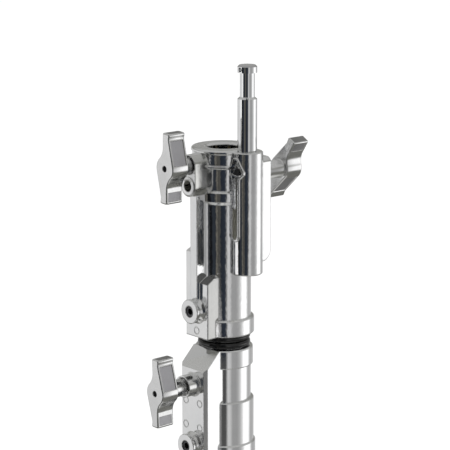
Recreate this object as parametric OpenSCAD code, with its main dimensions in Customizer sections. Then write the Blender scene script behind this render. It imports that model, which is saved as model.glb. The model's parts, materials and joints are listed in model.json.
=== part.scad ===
// Combo stand: a folding three-legged base, two telescoping risers with screw clamps,
// and a cast head that holds a receiver socket and a sliding spigot.
// Z is up, the mast axis is X = Y = 0, the floor is Z = 0, and the clamp handles face -Y.

/* [Mast] */
// Height of the receiver rim above the floor with both risers down
stand_h = 1270; // [1200:1:1500]
// Height of the base tube's lower end above the floor with the legs spread
column_lift = 50; // [40:1:60]
// Outer diameter of the base tube
base_tube_d = 45; // [42:0.5:50]
// Wall of the base tube and of both riser tubes
tube_wall = 1.5; // [1.2:0.1:2]
// Gap between each tube's bore and the riser inside it
riser_gap = 1; // [0.8:0.1:1.5]
// How far each riser's lower end stays above the end of the tube round it
riser_end_step = 45; // [40:1:80]
// Length of the guide on the lower end of each riser
riser_foot_len = 22; // [15:1:30]

/* [Head] */
// Bore of the receiver socket, for a 28 mm stud
receiver_d = 28.6; // [28.2:0.1:29]
// Depth of the receiver socket below the rim
receiver_depth = 66; // [60:1:70]
// Width of the flat rim round the receiver socket
rim_w = 12.9; // [11:0.1:15]
// Height of the upper band under the rim
rim_band_h = 15.4; // [14:0.1:17]
// Length of the narrow neck under the upper band
neck_h = 18.8; // [16:0.1:22]
// Height of the second band under the neck
second_band_h = 11.2; // [9:0.1:14]
// Overall length of the head casting
head_len = 157; // [150:1:175]
// Wall of the head casting round the upper riser
head_wall = 5; // [4:0.1:6]
// Height of the bottom ring of the head casting
head_ring_h = 14.3; // [12:0.1:18]
// How far the bottom ring stands out of the head casting
head_ring_step = 2.7; // [2:0.1:3.5]
// How far the rib on the handle side stands out of the head casting
rib_reach = 10.9; // [9:0.1:13]
// Width of the rib on the handle side
rib_w = 7.8; // [6:0.1:10]
// Width of the clamping box at the foot of the head
head_box_w = 26.8; // [24:0.1:30]
// How far the clamping box stands out of the head casting
head_box_reach = 7.7; // [6.5:0.1:10]
// Height of the clamping box on its left side
head_box_tall = 71.5; // [66:0.5:80]
// Height of the clamping box on its right side
head_box_short = 46.5; // [42:0.5:54]
// Width of the receiver clamp block under the rim
clamp_block_w = 17.6; // [17.2:0.1:19]
// How far the receiver clamp block stands out of the rim
clamp_block_reach = 11.8; // [9:0.1:13]
// Drop of the receiver clamp screw below the rim
receiver_screw_drop = 11.6; // [9.3:0.1:12]
// Drop of the spare screw boss below the rim
spare_boss_drop = 28.8; // [26:0.1:30]

/* [Spigot] */
// Diameter of the spigot, for a 5/8 inch socket
spigot_d = 16; // [15.8:0.1:16]
// Length of the spigot that stands out of its housing
spigot_out = 70; // [66:1:80]
// Diameter of the waist under the spigot head
waist_d = 12; // [10:0.5:13]
// Length of the waist under the spigot head
waist_len = 19.6; // [16:0.1:22]
// Height of the spigot head
spigot_head_h = 6.1; // [5:0.1:8]
// Diameter of the safety pin hole through the spigot head
safety_hole_d = 3.6; // [3:0.1:4]
// Wall of the spigot housing
housing_wall = 5; // [4.5:0.1:6]
// Length of the spigot housing
housing_len = 101.5; // [96:1:110]
// Wall between the spigot bore and the upper riser's bore
spigot_web = 2.4; // [2:0.1:4]
// Width of the slot that the guide pin runs in
slot_w = 6.2; // [5.8:0.1:7]
// Width of the keyhole at the top of the slot
keyhole_w = 13.4; // [12:0.1:14]
// Drop of the guide pin below the housing's top
guide_pin_drop = 16.4; // [15:0.1:18]
// How far the spigot slides down into its housing
spigot_travel = 52; // [40:1:54]
// How far the spigot's foot stays up inside its housing when the spigot is right down
spigot_foot_in = 0.7; // [0.3:0.1:4]
// How far the spigot clamp block reaches behind the spigot's axis
rear_block_reach = 19.1; // [18:0.1:22]
// Drop of the spigot clamp screw below the housing's top
spigot_screw_drop = 18.6; // [18:0.1:22]

/* [Clamp collars] */
// Wall of a clamp collar round its tube
collar_wall = 2.5; // [2:0.1:3]
// Length of a clamp collar
collar_len = 103; // [98:1:115]
// Height of the top ring of a clamp collar
top_ring_h = 15.8; // [13:0.1:17]
// How far the top ring stands out of a clamp collar
top_ring_step = 1.8; // [1.2:0.1:2.4]
// Wall of the guide bush in a clamp collar
bush_wall = 1.5; // [1.2:0.1:2]
// Drop of the lower sleeve below the collar's top
sleeve_drop = 45.2; // [44:0.1:50]
// How far the lower sleeve stands out of a clamp collar
sleeve_step = 2.5; // [1.8:0.1:3.2]
// Height of the foot ring of a clamp collar
foot_ring_h = 21; // [16:0.1:24]
// How far the foot ring stands out of a clamp collar
foot_ring_step = 4; // [3.4:0.1:5]
// How far the clamp box stands out of a clamp collar
clamp_box_reach = 12.3; // [11:0.1:14]
// Width of the clamp box
clamp_box_w = 31.8; // [29:0.1:34]
// Bevel on the upright edges of the clamp box
clamp_box_bevel = 2.4; // [1.5:0.1:3]
// Drop of the clamp screw below the collar's top
clamp_screw_drop = 28.2; // [26:0.1:30]
// Diameter of the clamp screw boss
boss_d = 18.4; // [18:0.1:20]
// How far the clamp screw boss stands out of the clamp box
boss_len = 10.9; // [9:0.1:13]
// Drop of the set screw boss below the collar's top
set_boss_drop = 80.4; // [76:0.1:84]
// Length of a set screw boss
set_boss_len = 8.2; // [7:0.1:10]
// Diameter of a set screw boss
set_boss_d = 20.4; // [18:0.1:21]
// Diameter of a set screw
set_screw_d = 9.6; // [8:0.1:10]
// Width across the flats of a set screw's hexagon socket
hex_flats = 5; // [4:0.5:6]
// Diameter of the round mould marks on the castings
mark_d = 6.4; // [5:0.1:8]
// Height of the pair of rubber rings under each casting
ring_pair_h = 11; // [10:0.1:13]
// Radial thickness of the rubber rings
rubber_w = 4.5; // [4:0.1:5]

/* [T handles] */
// Tip-to-tip length of a T handle
handle_len = 58; // [54:1:64]
// Diameter of a T handle's hub
handle_hub_d = 21; // [19:0.5:22]
// Width of a T handle's wing at its tip
handle_tip_w = 8.6; // [7.5:0.1:10]
// Width of a T handle's wing at its narrowest
handle_wing_w = 7.2; // [6.5:0.1:7.4]
// Thickness of a T handle along its screw
handle_thick = 17; // [14:0.5:18]
// Bevel on a T handle's edges
handle_bevel = 1; // [0.6:0.1:1.3]
// Diameter of a T handle's neck
neck_d = 14.6; // [13:0.1:15]
// Diameter of a clamp screw
screw_d = 10; // [9:0.5:10.5]
// Diameter of a clamp shoe
shoe_d = 13; // [12:0.1:14]
// Length of a clamp shoe
shoe_len = 8; // [7:0.1:8.5]
// Diameter of the brass pad in front of a head clamp screw
pad_d = 8; // [7:0.1:8.5]
// Length of the receiver's pad
receiver_pad_len = 6.5; // [6:0.1:7]
// Length of the spigot's pad
spigot_pad_len = 3.5; // [3:0.1:4.5]
// Inward travel of the receiver clamp
receiver_travel = 3; // [2:0.1:3.2]
// Outward travel of a clamp that is tight at rest
clamp_out = 2.25; // [1.5:0.05:2.5]

/* [Legs] */
// Angle of a spread leg from the vertical
leg_angle = 51; // [46:0.5:54]
// Height of the leg pivots above the floor
leg_pivot_h = 430; // [400:1:460]
// Distance of the leg pivots from the mast axis
leg_pivot_r = 46; // [45:0.5:50]
// Diameter of a leg tube
leg_tube_d = 25.4; // [24:0.1:26]
// Distance from a leg's pivot to its brace pivot
brace_drop = 340; // [320:1:360]
// Height of the brace pivots above the floor
brace_pivot_h = 85; // [80:1:95]
// Distance of the brace pivots from the mast axis
brace_pivot_r = 44; // [43:0.5:48]
// Width of a brace bar
brace_w = 22; // [20:0.5:24]
// Thickness of a brace bar
brace_t = 4; // [3:0.1:5]
// Diameter of the pivot bolts
bolt_d = 8; // [7:0.5:9]
// Height of the sliding leg collar
leg_collar_h = 66; // [60:1:76]
// Wall of the sliding leg collar
leg_collar_wall = 6.5; // [5.5:0.1:8]
// Thickness of the tongue on top of a leg
tongue_t = 16; // [14:0.5:17]
// Thickness of each ear beside the tongue
ear_t = 5.8; // [5:0.1:7]
// Diameter of a rubber foot
foot_d = 33; // [31:0.5:36]
// Length of a rubber foot
foot_len = 58; // [52:1:66]

/* [Fits] */
// Radial clearance of a part that slides or turns in another
run_fit = 0.05; // [0.03:0.01:0.1]
// Radial clearance of a part that is fixed in another
seat_fit = 0.03; // [0.01:0.01:0.05]
// Gap beside a joint, and between parts that stop against each other
side_gap = 0.3; // [0.2:0.05:0.5]

/* [Hidden] */
$fn = 72;

leg_turn = [90, 210, 330];

// Radii of the nested tubes, from the base tube inward
base_r = base_tube_d / 2;
lower_r = base_r - tube_wall - riser_gap;
upper_r = lower_r - tube_wall - riser_gap;

// Heights of the castings
socket_floor = 4;
head_z = stand_h;
upper_collar_z = head_z - head_len - ring_pair_h - side_gap;
lower_collar_z = upper_collar_z - collar_len - ring_pair_h - side_gap;
base_top_z = lower_collar_z - sleeve_drop;
lower_top_z = upper_collar_z - sleeve_drop;
upper_top_z = head_z - receiver_depth - socket_floor - seat_fit;
lower_end_z = column_lift + riser_end_step;
upper_end_z = lower_end_z + riser_end_step;

// Head
receiver_r = receiver_d / 2;
rim_r = receiver_r + rim_w;
head_r = upper_r + head_wall;
neck_r = head_r - 0.5;
band_r = rim_r - 1.1;
second_band_r = head_r + 2.5;
rib_y = head_r + rib_reach;
head_box_y = head_r + head_box_reach;
clamp_block_y = rim_r + clamp_block_reach;
drain_r = 5;
set_screw_rise = 23;
mark_depth = 0.25;
rib_fillet = 6.2;
rib_root = rib_w / 2 + rib_fillet;
head_box_slope = 32;
head_mark_rise = 5.3;
second_band_z = -rim_band_h - neck_h;
head_set_z = set_screw_rise - head_len;

// Spigot and its housing
spigot_r = spigot_d / 2;
spigot_bore_r = spigot_r + run_fit;
spigot_x = upper_r + seat_fit + spigot_web + spigot_bore_r;
housing_r = spigot_r + housing_wall;
housing_top = -0.8;
spigot_in = housing_len - spigot_travel - spigot_foot_in;
guide_pin_r = slot_w / 2 - 0.3;
slot_end = -guide_pin_drop - spigot_travel - guide_pin_r - 0.4;
rear_block_w = 2 * spigot_r;

// Clamp screws
handle_neck_r = neck_d / 2;
counter_r = handle_neck_r + 0.5;
neck_in = 1.4;
counter_depth = receiver_travel + neck_in + 0.4;
receiver_back = 8;
spigot_back = 16;
clamp_back = 13.3;
screw_end = 6;
screw_r = screw_d / 2;
screw_hole_r = screw_r + run_fit;
dog_r = 2.2;
dog_len = 1.4;
screw_gap = 0.1;
shoe_r = shoe_d / 2;
shoe_hole_r = shoe_r + run_fit;
pad_r = pad_d / 2;

// Legs
leg_r = leg_tube_d / 2;
leg_bore_r = leg_r - tube_wall;
bolt_r = bolt_d / 2;
bar_in = leg_r + 3.3;
bar_out = bar_in + brace_t;
lug_half = bar_in - side_gap;
ear_in = tongue_t / 2 + side_gap;
ear_out = ear_in + ear_t;
leg_collar_r = base_r + run_fit + leg_collar_wall;
brace_foot = [leg_pivot_r + brace_drop * sin(leg_angle), leg_pivot_h - brace_drop * cos(leg_angle)];
brace_len = norm(brace_foot - [brace_pivot_r, brace_pivot_h]);
brace_rise = atan2(brace_foot[1] - brace_pivot_h, brace_foot[0] - brace_pivot_r);
leg_len = leg_pivot_h / cos(leg_angle);

// Ring of revolution between two radii
module tube_ring(r_out, r_in, z0, z1) {
    translate([0, 0, z0])
        difference() {
            cylinder(r = r_out, h = z1 - z0);
            translate([0, 0, -1]) cylinder(r = r_in, h = z1 - z0 + 2);
        }
}

// Solid turned from the bottom up, with a bevel on the rims of a band
function band(r, z0, z1, bevel) = [[r - bevel, z0], [r, z0 + bevel], [r, z1 - bevel], [r - bevel, z1]];

// Cylinder that runs from y0 towards -Y for the given length
module toward_front(r, y0, len) {
    translate([0, -y0, 0]) rotate([90, 0, 0]) cylinder(r = r, h = len);
}

// Plate with round upright edges, centred on X, from y0 to y1
module round_block(w, y0, y1, z0, z1, r) {
    translate([0, 0, z0])
        linear_extrude(height = z1 - z0) {
            translate([-w / 2 + r, y0]) square([w - 2 * r, y1 - y0]);
            translate([-w / 2, y0 + r]) square([w, y1 - y0 - r]);
            for (side = [-1, 1]) translate([side * (w / 2 - r), y0 + r]) circle(r = r);
        }
}

// Waisted boss of a set screw, from its base at y0 towards -Y
module set_boss(y0) {
    translate([0, -y0, 0])
        rotate([90, 0, 0])
            rotate_extrude()
                polygon([
                    [0, -4], [set_boss_d / 2 + 0.8, -4], [set_boss_d / 2 + 0.8, 0],
                    [set_boss_d / 2 - 0.8, 1.5], [set_boss_d / 2 - 1.8, 3.2],
                    [set_boss_d / 2 - 1.8, set_boss_len - 3.8], [set_boss_d / 2 - 0.8, set_boss_len - 2.6],
                    [set_boss_d / 2, set_boss_len - 2], [set_boss_d / 2, set_boss_len - 0.4],
                    [set_boss_d / 2 - 0.4, set_boss_len], [0, set_boss_len]
                ]);
}

// Shallow round groove that a mould mark leaves in a flat face at y0
module mould_mark(x, y0, z) {
    translate([x, 0, z])
        difference() {
            toward_front(mark_d / 2, y0 - mark_depth, 1);
            toward_front(mark_d / 2 - 0.6, y0 - mark_depth - 1, 3);
        }
}

// Socket set screw whose face is 1 mm inside its boss
module set_screw(y_tip, y_face) {
    color("dimgray")
        difference() {
            toward_front(set_screw_d / 2 - seat_fit, y_tip, y_face - 1 - y_tip);
            translate([0, -y_face + 6, 0]) rotate([90, 30, 0]) cylinder(d = hex_flats / cos(30), h = 10, $fn = 6);
        }
}

// Half of a T handle's outline: a straight flank, a tip and a hollow flank
function wing_points() =
    let (
        r = handle_hub_d / 2,
        half = handle_len / 2,
        wing = handle_wing_w / 2,
        tip = handle_tip_w / 2,
        reach = hypot(wing, half - 5),
        touch = atan2(half - 5, wing) - acos(r / reach),
        bend_y = half * 0.58,
        bend_r = (wing * wing + bend_y * bend_y - r * r) / (2 * (r - wing)),
        bend_end = atan2(bend_y, wing + bend_r)
    )
    concat(
        [for (a = [touch - 12, touch]) [r * cos(a), r * sin(a)]],
        [[wing, half - 5], [tip, half - 1.2], [tip - 0.8, half]],
        [[-tip + 0.8, half], [-tip, half - 1.2], [-wing, half - 5]],
        [for (i = [0 : 5]) [-wing - bend_r + bend_r * cos(i * bend_end / 5), bend_y - bend_r * sin(i * bend_end / 5)]],
        [for (i = [1 : 4]) let (a = 180 - bend_end + i * (bend_end + touch - 12) / 5) [r * cos(a), r * sin(a)]]
    );

function hypot(a, b) = sqrt(a * a + b * b);
function handle_outline() = concat(wing_points(), [for (p = wing_points()) -p]);

// The same outline drawn in by a distance, corner by corner
function drawn_in(points, by) =
    let (n = len(points))
    [for (i = [0 : n - 1])
        let (
            a = points[i] - points[(i + n - 1) % n],
            b = points[(i + 1) % n] - points[i],
            na = [-a[1], a[0]] / norm(a),
            nb = [-b[1], b[0]] / norm(b),
            m = (na + nb) / 2
        )
        points[i] + m * by / (m * m)];

// The outline of a handle as convex pieces: the two ends of each wing, and a fan over each half of the hub
function outline_pieces(half) =
    let (n = 2 * half, fan = concat([[1, 2], [2, 7]], [for (k = [7 : half - 1]) [k, k + 1]]))
    [for (first = [0, half])
        each concat(
            [for (piece = [[2, 3, 6, 7], [3, 4, 5, 6]]) [for (k = piece) (first + k) % n]],
            [for (pair = fan) [first, (first + pair[0]) % n, (first + pair[1]) % n]]
        )];

// Skin over rings of points that follow a handle's outline
module skin(rings) {
    n = len(rings[0]);
    last = len(rings) - 1;
    pieces = outline_pieces(n / 2);
    polyhedron(
        points = [for (ring = rings) each ring],
        faces = concat(
            pieces,
            [for (k = [0 : last - 1]) for (i = [0 : n - 1])
                [k * n + i, (k + 1) * n + i, (k + 1) * n + (i + 1) % n, k * n + (i + 1) % n]],
            [for (piece = pieces) [for (k = [len(piece) - 1 : -1 : 0]) last * n + piece[k]]]
        )
    );
}

function at_height(points, z) = [for (p = points) [p[0], p[1], z]];

// T handle on the Z axis: its back is at 0, its face at handle_thick, its neck below 0
module t_handle(neck_len) {
    outline = handle_outline();
    narrow = drawn_in(outline, handle_bevel);
    color("silver")
        difference() {
            union() {
                skin([
                    at_height(narrow, 0),
                    at_height(outline, handle_bevel),
                    at_height(outline, handle_thick - handle_bevel),
                    at_height(narrow, handle_thick)
                ]);
                translate([0, 0, -neck_len]) cylinder(r = handle_neck_r, h = neck_len + 1);
            }
            translate([0, 0, -neck_len - 1]) cylinder(r = screw_r + seat_fit, h = neck_len + handle_thick - 4);
            cylinder(r = 2.1, h = handle_thick + 1);
            for (turn = [0, 180]) rotate(turn) wing_panel();
        }
}

// Shallow recess in the straight flank of a wing
module wing_panel() {
    r = handle_hub_d / 2;
    half = handle_len / 2;
    reach = hypot(handle_wing_w / 2, half - 5);
    touch = atan2(half - 5, handle_wing_w / 2) - acos(r / reach);
    rotate(touch)
        translate([r - 0.5, 1.5, 2.4])
            cube([3, reach * sin(acos(r / reach)) - 3, handle_thick - 4.8]);
}

// Screw of a T handle, from its shoulder at 0 to just under the handle's face, with a dog point
module clamp_screw(len) {
    color("gainsboro")
        difference() {
            union() {
                cylinder(r = screw_r, h = len);
                translate([0, 0, -dog_len]) cylinder(r = dog_r, h = dog_len + 1);
            }
            translate([0, 0, len - 2]) cylinder(r = 1.4, h = 3);
        }
}

// Everything that faces a clamp's handle side: turns Z towards -Y
module face_front(drop, y) {
    translate([0, -y, drop]) rotate([90, 0, 0]) children();
}

// Head: the turned core of the casting, measured down from the rim
module head_core() {
    rotate_extrude()
        polygon(concat(
            [[0, -head_len]],
            band(head_r + head_ring_step, -head_len, -head_len + head_ring_h, 0.9),
            [[head_r, -head_len + head_ring_h], [head_r, second_band_z - second_band_h]],
            [[second_band_r, second_band_z - second_band_h + 2.6], [second_band_r, second_band_z - 1.2]],
            [[second_band_r - 1.2, second_band_z], [neck_r, second_band_z]],
            [[neck_r, -rim_band_h], [rim_r - 0.9, -rim_band_h], [rim_r, -rim_band_h + 0.9]],
            [[rim_r, -rim_band_h + 2.1], [band_r, -rim_band_h + 3], [band_r, -3.4]],
            [[rim_r, -2.8], [rim_r, -1.9]],
            [for (a = [22.5 : 22.5 : 90]) [rim_r - 1.9 + 1.9 * cos(a), -1.9 + 1.9 * sin(a)]],
            [[0, 0]]
        ));
}

// Keyhole and slot of the spigot housing, seen from the front
module keyhole(grow) {
    half = slot_w / 2 + grow;
    wide = keyhole_w / 2 + grow;
    pin = -guide_pin_drop;
    polygon([
        [-half, slot_end + slot_w / 2], [-half, pin - 5], [-wide, pin - 1.3], [-wide, pin + 1.2],
        [-1.6 - grow, pin + 11 + grow * 0.6], [1.6 + grow, pin + 11 + grow * 0.6],
        [wide, pin + 1.2], [wide, pin - 1.3], [half, pin - 5], [half, slot_end + slot_w / 2]
    ]);
    translate([0, slot_end + slot_w / 2]) circle(r = half);
}

// Housing of the spigot, with its clamp block and the raised lip of the keyhole
module spigot_housing() {
    translate([spigot_x, 0, housing_top]) {
        rotate_extrude()
            polygon(concat([[0, -housing_len]], band(housing_r, -housing_len, 0, 0.7), [[0, 0]]));
        intersection() {
            translate([0, 0, slot_end - 6]) cylinder(r = housing_r + 1.2, h = 3 - slot_end);
            rotate([90, 0, 0]) linear_extrude(height = housing_r + 2) keyhole(1.6);
        }
        rear_block();
    }
}

// Block behind the spigot housing that the spigot's clamp screw runs in
module rear_block() {
    half = rear_block_w / 2;
    top = -5.8;
    foot = -92;
    round = 9;
    intersection() {
        translate([-half, 0, foot])
            rotate([90, 0, 90])
                linear_extrude(height = rear_block_w) {
                    square([rear_block_reach - round, top - foot]);
                    translate([0, round]) square([rear_block_reach, top - foot - round]);
                    translate([rear_block_reach - round, round]) circle(r = round);
                }
        rotate([-90, 0, 0])
            linear_extrude(height = rear_block_reach + 1) {
                translate([-half, -top + 5]) square([rear_block_w, top - foot]);
                translate([-half + 5, -top]) square([rear_block_w - 10, top - foot]);
                for (side = [-1, 1]) translate([side * (half - 5), -top + 5]) circle(r = 5);
            }
    }
}

// Rib that joins the receiver clamp block to the clamping box
module head_rib() {
    foot = head_set_z + set_boss_d / 2 - 2;
    top = second_band_z - 2;
    translate([0, 0, foot])
        linear_extrude(height = top - foot)
            difference() {
                union() {
                    translate([-rib_w / 2, -rib_y]) square([rib_w, rib_y - head_r + 4]);
                    translate([-rib_root, -head_r - rib_fillet * 0.6]) square([2 * rib_root, 2 * rib_fillet]);
                }
                for (side = [-1, 1]) translate([side * rib_root, -head_r - rib_fillet * 0.6]) circle(r = rib_fillet);
            }
}

// Box at the foot of the head: its left side is taller than its right, and both tops slope up to the core
module head_box() {
    half = head_box_w / 2;
    difference() {
        for (side = [-1, 1]) {
            tall = side < 0 ? head_box_tall : head_box_short;
            intersection() {
                translate([side * half / 2, 0, 0]) round_block(half, -head_box_y, 0, -head_len, tall + 8 - head_len, 0.8);
                translate([0, 1, -head_len]) rotate([90, 0, 0]) linear_extrude(height = head_box_y + 2) box_side(side, tall + 6);
            }
        }
        for (side = [-1, 1])
            translate([0, -head_box_y, (side < 0 ? head_box_tall : head_box_short) - head_len])
                rotate([head_box_slope, 0, 0])
                    translate([side < 0 ? -head_box_w : 0, -10, 0]) cube([head_box_w, 60, 40]);
    }
    round_block(head_box_w - 2, -head_box_y, 0, -head_len, head_box_short - 4 - head_len, 0.8);
}

// One side of the head's box from the front: a round shoulder, and a small step on the tall side
module box_side(side, tall) {
    half = head_box_w / 2;
    round = side < 0 ? 7 : 3;
    step = side < 0 ? 0.6 : 0;
    scale([side, 1]) {
        square([half, head_box_short + (side < 0 ? 1 : -round)]);
        square([half - step, tall - round]);
        square([half - step - round, tall]);
        translate([half - step - round, tall - round]) circle(r = round);
    }
}

// Block under the rim, with round ends about the receiver's clamp screw and the spare boss
module clamp_block() {
    r = clamp_block_w / 2;
    drop = spare_boss_drop - receiver_screw_drop;
    translate([0, 0, -receiver_screw_drop])
        rotate([90, 0, 0])
            linear_extrude(height = clamp_block_y) {
                circle(r = r);
                translate([0, -drop]) circle(r = r);
                translate([-r, -drop]) square([2 * r, drop]);
            }
    translate([0, 0, -spare_boss_drop]) toward_front(r - 1, clamp_block_y - 1, 1.6);
}

// Head casting: receiver socket, clamp blocks, spigot housing and riser socket
module head_casting() {
    translate([0, 0, head_z])
        color("silver")
            difference() {
                union() {
                    head_core();
                    clamp_block();
                    head_rib();
                    head_box();
                    translate([0, 0, head_set_z]) set_boss(head_box_y);
                    spigot_housing();
                }
                receiver_socket();
                translate([0, 0, -head_len - 1])
                    cylinder(r = upper_r + seat_fit, h = head_len - receiver_depth - socket_floor + 1);
                translate([0, 0, -head_len]) cylinder(r = drain_r, h = head_len);
                spigot_bore();
                translate([0, 0, -receiver_screw_drop]) {
                    clamp_holes(receiver_r - 2, receiver_screw_y - receiver_travel - side_gap, clamp_block_y);
                    toward_front(counter_r, clamp_block_y - counter_depth, counter_depth + 1);
                }
                translate([0, 0, -spare_boss_drop]) toward_front(4.6, 0, clamp_block_y + 10);
                translate([0, 0, head_set_z]) toward_front(set_screw_d / 2, 0, head_box_y + set_boss_len + 1);
                mould_mark(0, head_box_y, head_mark_rise - head_len);
            }
}

// Socket for a stud, with a lead-in at the rim
module receiver_socket() {
    translate([0, 0, -receiver_depth]) cylinder(r = receiver_r, h = receiver_depth + 1);
    translate([0, 0, -1.6]) cylinder(r1 = receiver_r, r2 = receiver_r + 2, h = 2);
}

// Bore, keyhole and clamp hole of the spigot housing
module spigot_bore() {
    translate([spigot_x, 0, housing_top]) {
        translate([0, 0, -housing_len - 1]) cylinder(r = spigot_bore_r, h = housing_len + 2);
        rotate([90, 0, 0]) linear_extrude(height = housing_r + 4) keyhole(0);
        translate([0, 0, -spigot_screw_drop])
            rotate([0, 0, 180]) clamp_holes(spigot_r - 1, spigot_screw_y - side_gap, rear_block_reach);
    }
}

// Holes that a head clamp needs: the pad's bore from y_in and the screw's from y_screw to y_out
module clamp_holes(y_in, y_screw, y_out) {
    toward_front(pad_r + run_fit, y_in, y_out - y_in);
    toward_front(screw_hole_r, y_screw, y_out - y_screw + 1);
}

module head_set_screw() {
    translate([0, 0, head_z + head_set_z]) set_screw(upper_r + 0.1, head_box_y + set_boss_len);
}

module upper_riser_tube() {
    color("gainsboro") tube_ring(upper_r, upper_r - tube_wall, upper_end_z, upper_top_z);
}

// Guide on the lower end of a riser: a plug in its bore and a band that runs in the outer tube
module riser_foot(r, z) {
    color("dimgray")
        difference() {
            union() {
                translate([0, 0, z - riser_foot_len / 2])
                    cylinder(r = r + riser_gap - run_fit, h = riser_foot_len / 2);
                cylinder_plug(r - tube_wall - seat_fit, z, z + riser_foot_len);
            }
            translate([0, 0, z - riser_foot_len]) cylinder(r = r * 0.5, h = 3 * riser_foot_len);
        }
}

module cylinder_plug(r, z0, z1) {
    translate([0, 0, z0 - 0.5]) cylinder(r = r, h = z1 - z0 + 0.5);
}

module upper_riser_foot() {
    riser_foot(upper_r, upper_end_z);
}

// Two rubber rings on a riser, squeezed between two castings
module rubber_rings(r, z) {
    each_h = ring_pair_h / 2;
    color("black")
        for (k = [0, 1])
            translate([0, 0, z + k * each_h])
                rotate_extrude()
                    polygon([for (a = [0 : 20 : 340])
                        [r + seat_fit + rubber_w / 2 + rubber_w / 2 * cos(a), each_h / 2 + (each_h / 2 - 0.02) * sin(a)]]);
}

module upper_rubber_rings() {
    rubber_rings(upper_r, head_z - head_len - ring_pair_h);
}

// Spigot: a head, a waist and a shaft, with a fine groove where it enters its housing
module spigot() {
    top = head_z + housing_top + spigot_out;
    waist_top = spigot_out - spigot_head_h;
    shaft_top = waist_top - waist_len;
    r = spigot_r;
    translate([spigot_x, 0, head_z + housing_top])
        color("gainsboro")
            difference() {
                rotate_extrude()
                    polygon([
                        [0, -spigot_in], [r - 1, -spigot_in], [r, -spigot_in + 1], [r, -0.4], [r - 0.3, -0.4],
                        [r - 0.3, 1], [r, 1], [r, shaft_top - 1.6], [waist_d / 2, shaft_top],
                        [waist_d / 2, waist_top], [r, waist_top], [r, spigot_out - 1.3], [r - 1.3, spigot_out],
                        [0, spigot_out]
                    ]);
                translate([0, 20, spigot_out - spigot_head_h / 2 - 0.4])
                    rotate([90, 0, 0]) cylinder(d = safety_hole_d, h = 40);
                translate([0, 0, -guide_pin_drop]) toward_front(2 + seat_fit, 0, 20);
            }
}

// Pin in the spigot that runs in the housing's slot
module spigot_guide_pin() {
    translate([spigot_x, 0, head_z + housing_top - guide_pin_drop])
        color("dimgray") {
            toward_front(2, 0.5, spigot_r);
            toward_front(guide_pin_r, spigot_r + 0.3, housing_wall - 2);
        }
}

// Receiver clamp: its pad stands just clear of the socket, and its screw turns both ways
receiver_screw_y = receiver_r + side_gap + receiver_pad_len + screw_gap;

module receiver_handle() {
    translate([0, 0, head_z - receiver_screw_drop])
        face_front(0, clamp_block_y + receiver_back) rotate(-4) t_handle(receiver_back + neck_in);
}

module receiver_screw() {
    translate([0, 0, head_z - receiver_screw_drop])
        face_front(0, receiver_screw_y)
            clamp_screw(clamp_block_y + receiver_back + handle_thick - screw_end - receiver_screw_y);
}

// Brass pad in front of a clamp screw, with a hole for the screw's dog point
module pad(y_face, len) {
    color("goldenrod")
        difference() {
            toward_front(pad_r, y_face, len);
            toward_front(dog_r + run_fit, y_face + len - dog_len - screw_gap, dog_len + 1);
        }
}

module receiver_pad() {
    translate([0, 0, head_z - receiver_screw_drop]) pad(receiver_r + side_gap, receiver_pad_len);
}

// Spigot clamp, on the far side of the head
spigot_screw_y = spigot_r + run_fit + spigot_pad_len + screw_gap;

module behind_spigot() {
    translate([spigot_x, 0, head_z + housing_top - spigot_screw_drop]) rotate([0, 0, 180]) children();
}

module spigot_handle() {
    behind_spigot()
        face_front(0, rear_block_reach + spigot_back) rotate(30) t_handle(spigot_back - side_gap);
}

module spigot_screw() {
    behind_spigot()
        face_front(0, spigot_screw_y)
            clamp_screw(rear_block_reach + spigot_back + handle_thick - screw_end - spigot_screw_y);
}

module spigot_pad() {
    behind_spigot() pad(spigot_r + run_fit, spigot_pad_len);
}

// Clamp collar on the top of a tube of radius tube_r, round a riser of radius riser_r
module clamp_collar(tube_r, riser_r) {
    wall_r = tube_r + collar_wall;
    box_y = wall_r + clamp_box_reach;
    slope_y = riser_r + bush_wall + 0.6;
    difference() {
        union() {
            collar_core(wall_r, slope_y);
            clamp_box(box_y, slope_y);
            translate([0, 0, -clamp_screw_drop]) {
                toward_front(boss_d / 2, 0, box_y + boss_len);
                toward_front(boss_d / 2 + 0.9, 0, box_y + 0.8);
            }
            translate([0, 0, -set_boss_drop]) set_boss(box_y);
        }
        translate([0, 0, -collar_len - 1])
            cylinder(r = tube_r + seat_fit, h = collar_len - sleeve_drop + 1);
        translate([0, 0, -collar_len]) cylinder(r = tube_r - tube_wall, h = collar_len + 1);
        translate([0, 0, -top_ring_h]) cylinder(r = riser_r + bush_wall + seat_fit, h = top_ring_h + 1);
        translate([0, 0, -clamp_screw_drop]) shoe_holes(riser_r, box_y + boss_len);
        translate([0, 0, -set_boss_drop]) toward_front(set_screw_d / 2, 0, box_y + set_boss_len + 1);
        for (x = [-1, 1], z = [-1, 1])
            mould_mark(x * clamp_box_w * 0.27, box_y, z * 10.5 - (clamp_screw_drop + set_boss_drop) / 2);
    }
}

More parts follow.
